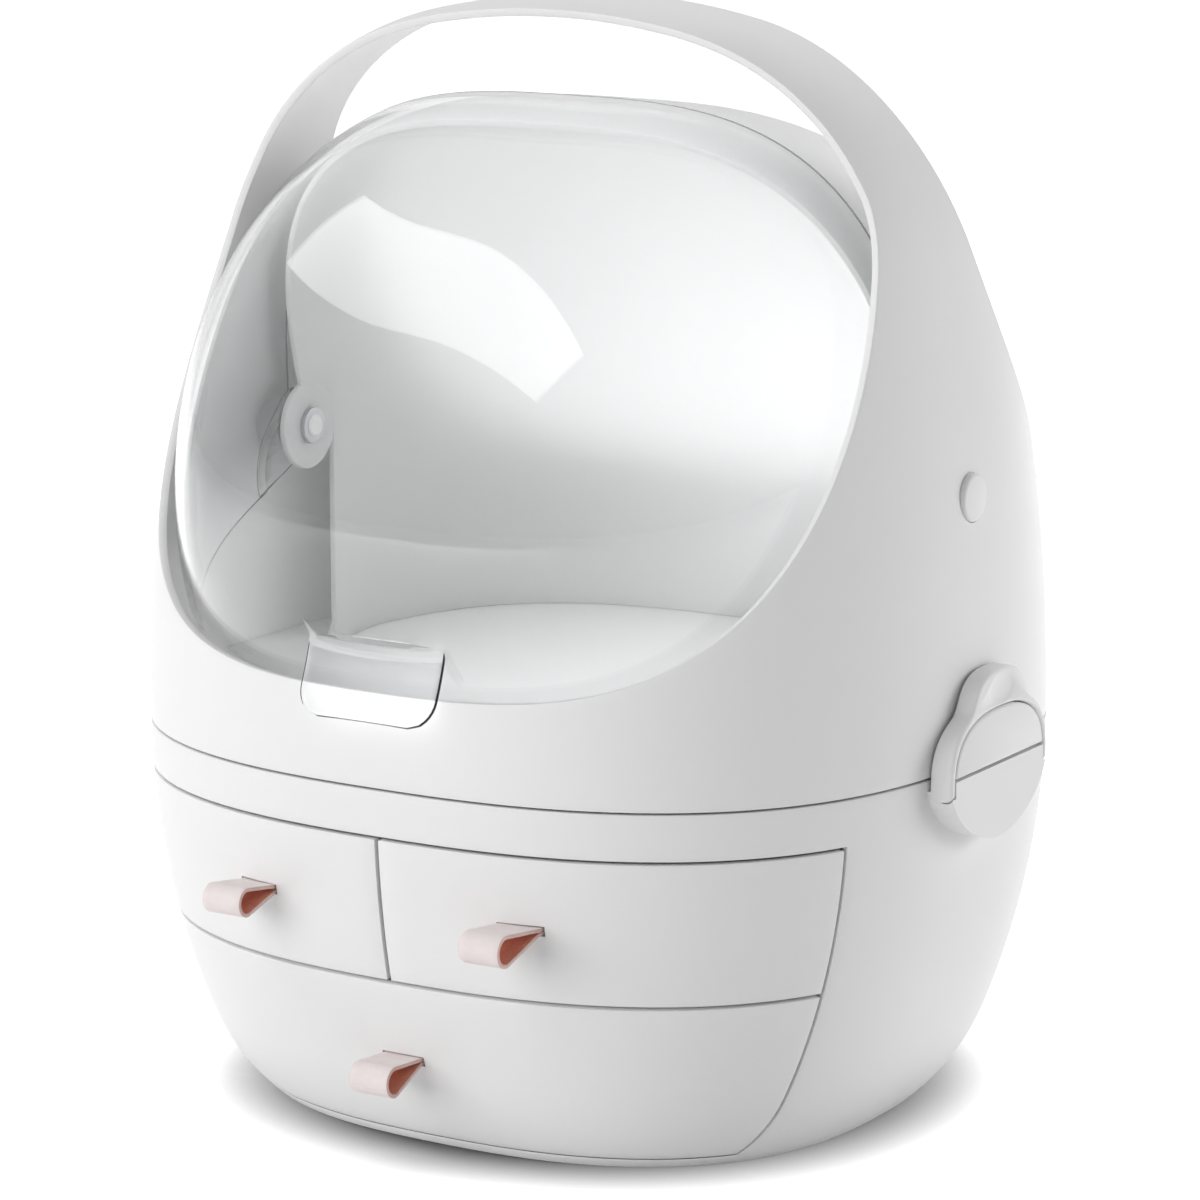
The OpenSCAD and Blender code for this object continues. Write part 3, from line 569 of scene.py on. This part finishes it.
def smooth_path(points, rounds):
    """Cuts the corners off the path, several times over."""
    for _ in range(rounds):
        finer = [points[0]]
        for p, q in zip(points, points[1:]):
            finer.append((0.75 * p[0] + 0.25 * q[0], 0.75 * p[1] + 0.25 * q[1]))
            finer.append((0.25 * p[0] + 0.75 * q[0], 0.25 * p[1] + 0.75 * q[1]))
        points = finer + [points[-1]]
    return points


# Folded by hand, so each differs: how far out the bend sits, how far down, and its radius.
bends = {"left": (16.8, 0.95, 4.95), "right": (19.8, 1.6, 5.4), "lower": (16.0, 2.8, 5.3)}
for side, (pull_x, pull_z) in pull_places.items():
    a = bowl_half_width(pull_z)
    front_y = plan_point(a, a - less_deep, angle_at_width(a, abs(pull_x)))[1]
    path = smooth_path(loop_path(*bends[side]), 2)
    rows = []
    for x in spread(-pull_width / 2, pull_width / 2, 8):
        bulge = 1 + strip_bulge * (1 - (2 * x / pull_width) ** 2)
        rows.append([Vector((pull_x + x, front_y - out_by * bulge, pull_z + up)) for out_by, up in path])
    pull = sheet_piece("leather_pull_" + side, rows)
    for mat in leathers:
        pull.data.materials.append(mat)
    face_outwards(pull, Vector((pull_x, front_y - 16, pull_z - 4)) * mm)
    sides = {"material_offset": 1, "material_offset_rim": 2}
    with_modifier(pull, "SOLIDIFY", thickness=strip_t * mm, offset=0, use_even_offset=True, **sides)
    round_off(pull, 0.22, 2, 50, material=2)
    smooth(pull, 40)
    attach(pull, "drawer_" + side)
    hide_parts("pull_" + side)

# ---- Upper box ----
# One white shell with a large opening in front and another at the back. Its sides sweep up and join
# over the top as the carry strap; the wall is 3 mm, with rounded rims and a recess for each pivot cap.
total_h = 381.3
side_r, side_share, crown_r = 824.0, 0.676, 277.0
depth_power, crown_rise = 2.15, 2.0
side_lean = math.asin(side_share * (total_h - seam_z) / side_r)
side_x = box_half_w - side_r
crown_z = total_h - crown_r
to_end = Vector((side_x + side_r * math.cos(side_lean), seam_z + side_r * math.sin(side_lean) - crown_z))
lean = Vector((math.cos(side_lean), math.sin(side_lean)))
shoulder_r = (to_end.dot(to_end) - crown_r**2) / (2 * (to_end.dot(lean) - crown_r))
shoulder_x = to_end.x - shoulder_r * lean.x
shoulder_z = to_end.y + crown_z - shoulder_r * lean.y
crown_angle = math.atan2(shoulder_z - crown_z, shoulder_x)
pivot_z = 221.0
turn_z = 230.0


def half_width(z):
    if z < seam_z + side_r * math.sin(side_lean):
        return side_x + math.sqrt(side_r**2 - (z - seam_z) ** 2)
    if z < crown_z + crown_r * math.sin(crown_angle):
        return shoulder_x + math.sqrt(shoulder_r**2 - (z - shoulder_z) ** 2)
    return math.sqrt(max(0.0, crown_r**2 - (z - crown_z) ** 2))


def half_depth(z):
    u = min(1.0, max(0.0, z - seam_z) / (total_h + crown_rise - seam_z))
    return box_half_d * (1 - u**depth_power) ** (1 / depth_power)


def shell_x(y, z):
    """How far out the shell's surface lies at the depth y and the height z."""
    a, b = half_width(z), half_depth(z)
    if b <= abs(y) or a <= 0:
        return 0.0
    return a * (1 - (abs(y) / b) ** plan_power) ** (1 / plan_power)


def sweep_y(z, y_top, z_top, y_sill, z_sill, power):
    """Depth of an opening's edge at the height z: straight up at the strap, level at the sill."""
    if z >= z_top:
        return y_top
    t = math.asin(min(1.0, (z_top - z) / (z_top - z_sill)) ** (power / 2))
    return y_sill + (y_top - y_sill) * math.cos(t) ** (2 / power)


strap_front, strap_back = -32.0, 8.0
front_sill_z, back_sill_z = 163.5, 200.0


def front_edge(z):
    return sweep_y(z, strap_front, total_h - 58.3, -143.0, front_sill_z, 1.38)


def back_edge(z):
    return sweep_y(z, strap_back, total_h - 15.3, 143.0, back_sill_z, 1.74)


def halve(low, high, above):
    """The place between low and high where above() turns false."""
    for _ in range(44):
        mid = (low + high) / 2
        low, high = (mid, high) if above(mid) else (low, mid)
    return (low + high) / 2


def level_point(z, bearing):
    """Surface point at the height z in a direction from the axis; 0 is right, -90 degrees front."""
    a, b = half_width(z), half_depth(z)
    c, s = math.cos(bearing), math.sin(bearing)
    k = ((abs(c) / a) ** plan_power + (abs(s) / b) ** plan_power) ** (-1 / plan_power)
    return Vector((k * c, k * s, z))


def edge_height(edge, bearing, low, high):
    """Height at which the opening's edge has a given bearing."""
    def flatter(z):
        y = edge(z)
        return math.atan2(abs(y), max(shell_x(y, z), 1e-9)) > abs(bearing)
    return halve(low, high, flatter)


def sill_start(edge, z_sill):
    """Height at which the opening's edge meets the mirror plane."""
    return halve(z_sill, z_sill + 30, lambda z: abs(edge(z)) > half_depth(z))


corner = math.radians(50)
front_start, back_start = sill_start(front_edge, front_sill_z), sill_start(back_edge, back_sill_z)
front_high, back_high = 300, 330
front_split = edge_height(front_edge, corner, front_start, front_high)
back_split = edge_height(back_edge, corner, back_start, back_high)
box_low = seam_z + 0.4
low_levels = spread(box_low, front_split, 12)
middle_levels = low_levels + spread(front_split, back_split, 7)[1:]
arm_levels = middle_levels + spread(back_split, turn_z, 5)[1:]

arm_columns, strap_rows, sill_columns = 52, 46, 34
rows = []
for z in arm_levels:
    y_f, y_b = front_edge(z), back_edge(z)
    from_b = -corner if z <= front_split else math.atan2(y_f, shell_x(y_f, z))
    to_b = corner if z <= back_split else math.atan2(y_b, shell_x(y_b, z))
    rows.append([level_point(z, t) for t in spread(from_b, to_b, arm_columns)])


def tilted_end(edge, tilt, top):
    """Point of the opening's edge in the half plane that leans by the angle tilt from upright."""
    z = halve(turn_z, top, lambda z: math.atan2(shell_x(edge(z), z), z - turn_z) > tilt)
    return Vector((shell_x(edge(z), z), edge(z), z))


def tilted_point(tilt, elevation):
    """Surface point in that half plane, seen from its foot at the angle elevation to the back."""
    out_x, up_z = math.sin(tilt), math.cos(tilt)
    c, s = math.cos(elevation), math.sin(elevation)

    def inside(k):
        z = turn_z + k * c * up_z
        a, b = half_width(z), half_depth(z)
        if a <= 0 or b <= 0:
            return False
        return (k * c * out_x / a) ** plan_power + (k * abs(s) / b) ** plan_power < 1

    k = halve(20, 260, inside)
    return Vector((k * c * out_x, k * s, turn_z + k * c * up_z))


front_top = halve(turn_z, total_h, lambda z: half_depth(z) > abs(strap_front))
for tilt in spread(math.pi / 2, 0, strap_rows)[1:]:
    f = tilted_end(front_edge, tilt, front_top)
    g = tilted_end(back_edge, tilt, total_h)
    start = math.atan2(f.y, math.hypot(f.x, f.z - turn_z))
    end = math.atan2(g.y, math.hypot(g.x, g.z - turn_z))
    row = [tilted_point(max(tilt, 1e-6), e) for e in spread(start, end, arm_columns)]
    if tilt == 0:
        for p in row:
            p.x = 0.0
    rows.append(row)
arms = sheet_piece("arms_and_strap", rows)


def sill_panel(name, edge, start, high, bearings, heights):
    """Panel under an opening, from the mirror plane to the arm; every column ends on the opening's edge."""
    tops = [start] + [edge_height(edge, t, start - 0.5, high) for t in bearings[1:]]
    rows = []
    for z in heights:
        share = (z - box_low) / (heights[-1] - box_low)
        rows.append([level_point(box_low + (top - box_low) * share, t) for top, t in zip(tops, bearings)])
    return sheet_piece(name, rows)


to_front, to_back = spread(-math.pi / 2, -corner, sill_columns), spread(math.pi / 2, corner, sill_columns)
front_panel = sill_panel("front_under_the_lid", front_edge, front_start, front_high, to_front, low_levels)
back_panel = sill_panel("back_under_the_opening", back_edge, back_start, back_high, to_back, middle_levels)
upper = joined("upper_box", [arms, front_panel, back_panel])
weld = 2e-5
bpy.ops.object.mode_set(mode="EDIT")
bpy.ops.mesh.select_all(action="SELECT")
bpy.ops.mesh.remove_doubles(threshold=weld)
bpy.ops.object.mode_set(mode="OBJECT")
with_modifier(upper, "MIRROR", use_axis=(True, False, False), use_mirror_merge=True, merge_threshold=weld)
bpy.ops.object.mode_set(mode="EDIT")
bpy.ops.mesh.select_all(action="SELECT")
bpy.ops.mesh.remove_doubles(threshold=weld)
bpy.ops.mesh.normals_make_consistent(inside=False)
bpy.ops.object.mode_set(mode="OBJECT")
face_outwards(upper, Vector((0, 0, 0.24)))
thicken(upper, wall, rim=0.4)

cap_seat, cap_r, cap_play = 143.78, 8.25, 0.2
lie_across = (0, math.pi / 2, 0)
for side in (1, -1):
    cut_away(upper, rod((side * (cap_seat + 10), 0, pivot_z), cap_r + cap_play, 20, lie_across, sides=96))


def turned(name, profile, steps=64):
    """Piece turned on the pivot's axis from a profile [across, radius]."""
    across = len(profile)
    bpy.ops.object.select_all(action="DESELECT")
    bpy.ops.mesh.primitive_grid_add(x_subdivisions=across - 1, y_subdivisions=1, size=2)
    piece = bpy.context.object
    piece.name = piece.data.name = name
    for i, vert in enumerate(piece.data.vertices):
        x, r = profile[i % across]
        vert.co = Vector((x, 0, pivot_z + r)) * mm
    bpy.ops.object.mode_set(mode="EDIT")
    mesh = bmesh.from_edit_mesh(piece.data)
    mesh.verts.ensure_lookup_table()
    bmesh.ops.delete(mesh, geom=[v for v in mesh.verts if v.index >= across], context="VERTS")
    bmesh.update_edit_mesh(piece.data)
    bpy.ops.mesh.select_all(action="SELECT")
    bpy.ops.mesh.spin(steps=steps, angle=2 * math.pi, center=(0, 0, pivot_z * mm), axis=(1, 0, 0))
    bpy.ops.mesh.select_all(action="SELECT")
    bpy.ops.mesh.remove_doubles(threshold=1e-6)
    bpy.ops.mesh.normals_make_consistent(inside=False)
    bpy.ops.object.mode_set(mode="OBJECT")
    return piece


bore_r = 4.05
spacer_profile = [(131.9, bore_r), (131.9, 8.6), (132.3, 9.0), (142.6, 9.0), (142.6, bore_r), (131.9, bore_r)]
spacer = turned("pivot_spacer_right", spacer_profile)
spacer_left = left_copy(spacer, "pivot_spacer_left")
arc_start = boss_angle(boss_gap, core_in)
outline = [boss_point(t, core_in) for t in spread(arc_start, math.pi - arc_start, 48)]
high_boss = side_slab("high_boss_right", outline, boss_root, boss_face)
round_off(high_boss, boss_rim, 3, 50)
high_boss_left = left_copy(high_boss, "high_boss_left")
upper = joined("upper_box", [upper, spacer, spacer_left, high_boss, high_boss_left])
white_parts.append(upper)
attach(upper, "organizer")
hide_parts("upper_shell")

# ---- Rear dome ----
# Fixed white dome that closes the back under the strap: turned round the pivot above it and straight
# below it, 2.4 mm thick. A round cheek on each side carries the end of the pivot pin.
lid_past, lid_grow, lid_half_w, lid_wall = 0.8, 3.6, 131.5, 2.4
lid_low, lid_high, lid_z = math.radians(19), math.radians(82), 205.0
lid_r = box_half_d + lid_past
rim_r = lid_r + lid_grow
rim_in = math.hypot(rim_r * math.sin(lid_high) - pivot_z + lid_z, rim_r * math.cos(lid_high))
dome_r = rim_in - lid_wall - 2.5
dome_half_w, dome_wall, cheek_edge_r, dome_power = lid_half_w - 6.6, 2.4, 15.0, 3.05
dome_foot, dome_turn = 139.6, math.radians(108)


def crown_section(radius, half, power, r_end):
    """Section [radius, across] of a domed sheet, from cheek to cheek over its crown."""
    end = math.acos((r_end / radius) ** (power / 2))
    angles = spread(0, end, 44)
    right = [(radius * math.cos(t) ** (2 / power), half * math.sin(t) ** (2 / power)) for t in angles]
    return [(r, -x) for r, x in reversed(right)] + right[1:]


section = crown_section(dome_r, dome_half_w, dome_power, cheek_edge_r)
rows = []
for z in spread(dome_foot, pivot_z, 12)[:-1]:
    rows.append([Vector((x, r, z)) for r, x in section])
for t in spread(0, dome_turn, 40):
    rows.append([Vector((x, r * math.cos(t), pivot_z + r * math.sin(t))) for r, x in section])
dome = sheet_piece("rear_dome_wall", rows)
face_outwards(dome, Vector((0, 0, pivot_z * mm)))
thicken(dome, dome_wall, rim=0.5)
cheek_profile = [(122.5, bore_r), (122.5, 15.6), (122.9, 16.0), (124.6, 16.0), (125.0, 15.6)]
cheek_profile += [(125.0, 9.0), (128.3, 9.0), (128.7, 8.6), (128.7, bore_r), (122.5, bore_r)]
cheek = turned("dome_cheek_right", cheek_profile)
cheek_left = left_copy(cheek, "dome_cheek_left")
dome = joined("rear_dome_wall", [dome, cheek, cheek_left])
thin_white = moulded_plastic("thin_white_plastic", (0.95, 0.95, 0.95))
tree = thin_white.node_tree
through = tree.nodes.new("ShaderNodeBsdfTranslucent")
through.inputs["Color"].default_value = (0.92, 0.92, 0.92, 1)
blend = tree.nodes.new("ShaderNodeMixShader")
blend.inputs[0].default_value = 0.42
tree.links.new(tree.nodes["Principled BSDF"].outputs[0], blend.inputs[1])
tree.links.new(through.outputs[0], blend.inputs[2])
tree.links.new(blend.outputs[0], tree.nodes["Material Output"].inputs["Surface"])
dome.data.materials.clear()
dome.data.materials.append(thin_white)
smooth(dome)
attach(dome, "organizer")
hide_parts("rear_dome")

# ---- Pivot pins ----
# Turned white plastic pins with a flat round cap, pushed in from outside through box, lid and dome;
# a spring ring holds each of them inside.
pin_profile = [(119.5, 0.0), (119.5, 3.5), (120.0, 4.0), (cap_seat, 4.0), (cap_seat, cap_r)]
pin_profile += [(cap_seat + 2.0, cap_r), (cap_seat + 2.55, cap_r - 0.2), (cap_seat + 2.9, cap_r - 0.65)]
pin_profile += [(cap_seat + 3.0, cap_r - 1.2), (cap_seat + 3.0, 0.0)]
pin = turned("pivot_pin_cap_right", pin_profile, 96)
for side in ("right", "left"):
    if side == "left":
        pin = left_copy(pin, "pivot_pin_cap_left")
    white_parts.append(pin)
    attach(pin, "organizer")
    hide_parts("pivot_pin_" + side)

# ---- Latch hoops ----
# A moulded hoop on each side, hinged in the base: two thin legs with round ends, an arch that snaps over
# the upper boss half, and a thumb tab with a shallow dish. Its back follows the curve of the side.
thumb_half, thumb_mid, thumb_rise, thumb_power, thumb_blend = 20.0, 12.0, 20.6, 2.6, 16
leg_foot = -(seam_z - hinge_z) - hinge_r
leg_top = leg_foot + 4
leg_in = boss_half - hoop_w
hoop_back, hoop_lift = 151.0, 0.9


def hoop_outer(angle):
    """Outer edge of the hoop: the boss's outline, with the wide thumb tab blended in."""
    y, z = boss_point(angle, 0)
    near = math.hypot(y, z)
    c, s = y / near, z / near

    def within_tab(k):
        aside, over = abs(k * c) / thumb_half, abs(k * s - thumb_mid) / thumb_rise
        return aside**thumb_power + over**thumb_power < 1

    tab_reach = halve(1.0, 60.0, within_tab)
    reach = (near**thumb_blend + tab_reach**thumb_blend) ** (1 / thumb_blend)
    return reach * c, reach * s


outer_start, inner_start = boss_angle(-1.0, 0), boss_angle(-1.0, hoop_w)
outline = [(boss_half - 0.3, leg_foot), (boss_half, leg_top)]
outline += [hoop_outer(t) for t in spread(outer_start, math.pi - outer_start, 96)]
outline += [(-boss_half, leg_top), (0.3 - boss_half, leg_foot), (-leg_in, leg_foot), (-leg_in, leg_top)]
outline += [boss_point(t, hoop_w) for t in spread(math.pi - inner_start, inner_start, 72)]
outline += [(leg_in, leg_top), (leg_in, leg_foot)]
hoop = side_slab("latch_hoop_right_side", outline, hoop_back, boss_face)
for vert in hoop.data.vertices:
    if vert.co.x < (hoop_back + 1) * mm:
        y, z = vert.co.y / mm, vert.co.z / mm
        if z > seam_z:
            body = shell_x(y, z)
        else:
            body = bowl_half_width(z) * (1 - (abs(y) / box_half_d) ** plan_power) ** (1 / plan_power)
        vert.co.x = (body + hoop_lift) * mm
bpy.ops.object.mode_set(mode="EDIT")
mesh = bmesh.from_edit_mesh(hoop.data)
for edge in mesh.edges:
    ends = [v.co for v in edge.verts]
    at_foot = all(v.z < (leg_foot + seam_z + 0.1) * mm for v in ends)
    edge.select = at_foot and abs(ends[0].x - ends[1].x) < 1e-3
bmesh.update_edit_mesh(hoop.data)
bpy.ops.mesh.select_mode(type="EDGE")
bpy.ops.mesh.bevel(offset=3.1 * mm, segments=6)
bpy.ops.mesh.select_mode(type="VERT")
bpy.ops.object.mode_set(mode="OBJECT")
round_off(hoop, 1.0, 4, 50)
dish_place = Vector((boss_face + 0.8, 0, seam_z + 25.4)) * mm
bpy.ops.mesh.primitive_uv_sphere_add(segments=96, ring_count=64, radius=1, location=dish_place)
dish = bpy.context.object
dish.scale = (1.9 * mm, 10.2 * mm, 5.8 * mm)
bpy.ops.object.transform_apply()
cut_away(hoop, dish)
hoop_left = left_copy(hoop, "latch_hoop_left_side")
for side, piece in (("right", hoop), ("left", hoop_left)):
    white_parts.append(piece)
    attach(piece, "latch_" + side)
    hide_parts("latch_hoop_" + side)

# ---- Clear lid ----
# Clear acrylic visor, 2.4 mm thick, that turns back under the strap on two round ears.
# A flared finger tab stands over the sill in front; the cut rims are painted grey as shade, so the lid's edges read
# as dark lines.
rows = []
for phi in spread(-lid_low, lid_high, 44):
    u = (phi + lid_low) / (lid_high + lid_low)
    section = crown_section(lid_r + lid_grow * u, lid_half_w, 2.58 + 0.47 * u, 20.0)
    c, s = math.cos(phi), math.sin(phi)
    rows.append([Vector((x, -r * c, lid_z + r * s)) for r, x in section])
lid = sheet_piece("clear_visor", rows)
face_outwards(lid, Vector((0, 0, lid_z * mm)))


def acrylic(name, colour, transmission, rough):
    """Clear acrylic with a very faint haze that comes and goes."""
    mat, tree, skin, place = new_material(name)
    skin.inputs["Base Color"].default_value = list(colour) + [1]
    skin.inputs["Transmission Weight"].default_value = transmission
    skin.inputs["IOR"].default_value = 1.45
    haze = between(tree, noise(tree, place, 14, 4), rough, rough + 0.035)
    tree.links.new(haze, skin.inputs["Roughness"])
    return mat


clear = acrylic("clear_acrylic", (0.985, 0.99, 0.995), 1.0, 0.0)
# The lid's cut rims get a grey colour as painted shade, standing in for the dark edge and the shadow gap at the sill.
painted_shade_rim = acrylic("acrylic_edge_painted_shade", (0.30, 0.31, 0.32), 0.35, 0.25)
lid.data.materials.append(clear)
lid.data.materials.append(painted_shade_rim)
thicken(lid, lid_wall, rim=0.35, material_offset_rim=1)


def hull_outline(points):
    """Points of the convex outline, in order."""
    points = sorted(set(points))

    def half_hull(seq):
        kept = []
        for p in seq:
            while len(kept) > 1:
                (y0, z0), (y1, z1) = kept[-2:]
                if (y1 - y0) * (p[1] - z0) > (z1 - z0) * (p[0] - y0):
                    break
                kept.pop()
            kept.append(p)
        return kept[:-1]

    return half_hull(points) + half_hull(reversed(points))


def fused(piece, other):
    with_modifier(piece, "BOOLEAN", object=other, operation="UNION", solver="EXACT")
    bpy.data.objects.remove(other)


ear_r, ear_reach = 13.0, 24.0
root_angles, round_angles = spread(-lid_low, lid_high, 12), spread(0, 2 * math.pi, 60)[:-1]
ear_points = [(-ear_reach * math.cos(t), lid_z - seam_z + ear_reach * math.sin(t)) for t in root_angles]
ear_points += [(ear_r * math.cos(t), pivot_z - seam_z + ear_r * math.sin(t)) for t in round_angles]
ear = side_slab("lid_ear_right", hull_outline(ear_points), lid_half_w - lid_wall, lid_half_w)
ear.data.materials.append(clear)
round_off(ear, 0.35, 2, 50)
ear_left = left_copy(ear, "lid_ear_left")
fused(lid, ear)
fused(lid, ear_left)

tab_half_w, tab_h, tab_round, tab_top, tab_root = 26.5, 25.0, 9.0, 181.5, 1.0
rows = []
for s in spread(0, 1, 18):
    z = tab_top + tab_root - (tab_h + tab_root) * s
    into_round = max(0.0, tab_round - (z - (tab_top - tab_h)))
    half = tab_half_w - tab_round + math.sqrt(max(0.0, tab_round**2 - into_round**2))
    y = -139.2 - 9.6 * s**1.35
    rows.append([Vector((half * c, y + 0.4 * (1 - c * c) * s, z)) for c in spread(-1, 1, 24)])
tab = sheet_piece("finger_tab", rows)
face_outwards(tab, Vector((0, 0, 0.17)))
tab.data.materials.append(clear)
thicken(tab, 1.8, rim=0.5)
fused(lid, tab)
for side in (1, -1):
    cut_away(lid, rod((side * 130, 0, pivot_z), 4.06, 20, lie_across))

smooth(lid, 30)
lid.visible_shadow = False
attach(lid, "lid")
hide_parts("clear_lid")

# ---- Inner panels, trays and fittings ----
# The plain inner mouldings keep their own shape: drawer frame, deck, trays, compartment floor and bars in
# white plastic, the foot pads in grey rubber, the screws, rings and hinge pins in steel.
inner_white = moulded_plastic("inner_white_plastic", (0.84, 0.84, 0.84), rough=0.42)
pad_rubber = moulded_plastic("foot_pad_rubber", (0.06, 0.06, 0.062), rough=0.75, grain=0.3)
bright_steel, tree, skin, place = new_material("bright_steel")
skin.inputs["Base Color"].default_value = (0.62, 0.63, 0.65, 1)
skin.inputs["Metallic"].default_value = 1.0
tree.links.new(between(tree, noise(tree, place, 700, 2), 0.22, 0.42), skin.inputs["Roughness"])
for mat, names in (
    (inner_white, ("drawer_chassis", "deck_panel", "compartment_floor")),
    (inner_white, ("tray_left", "tray_right", "tray_lower")),
    (inner_white, ("pull_bar_left", "pull_bar_right", "pull_bar_lower")),
    (pad_rubber, ("rubber_feet",)),
    (bright_steel, ("chassis_screws", "pivot_clips", "latch_pins_left", "latch_pins_right")),
):
    for name in names:
        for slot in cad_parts[name].material_slots:
            slot.material = mat

# ---- Finish ----
# All the outer white mouldings share one satin plastic and smooth shading.
for piece in white_parts:
    piece.data.materials.clear()
    piece.data.materials.append(white_shell)
    smooth(piece)
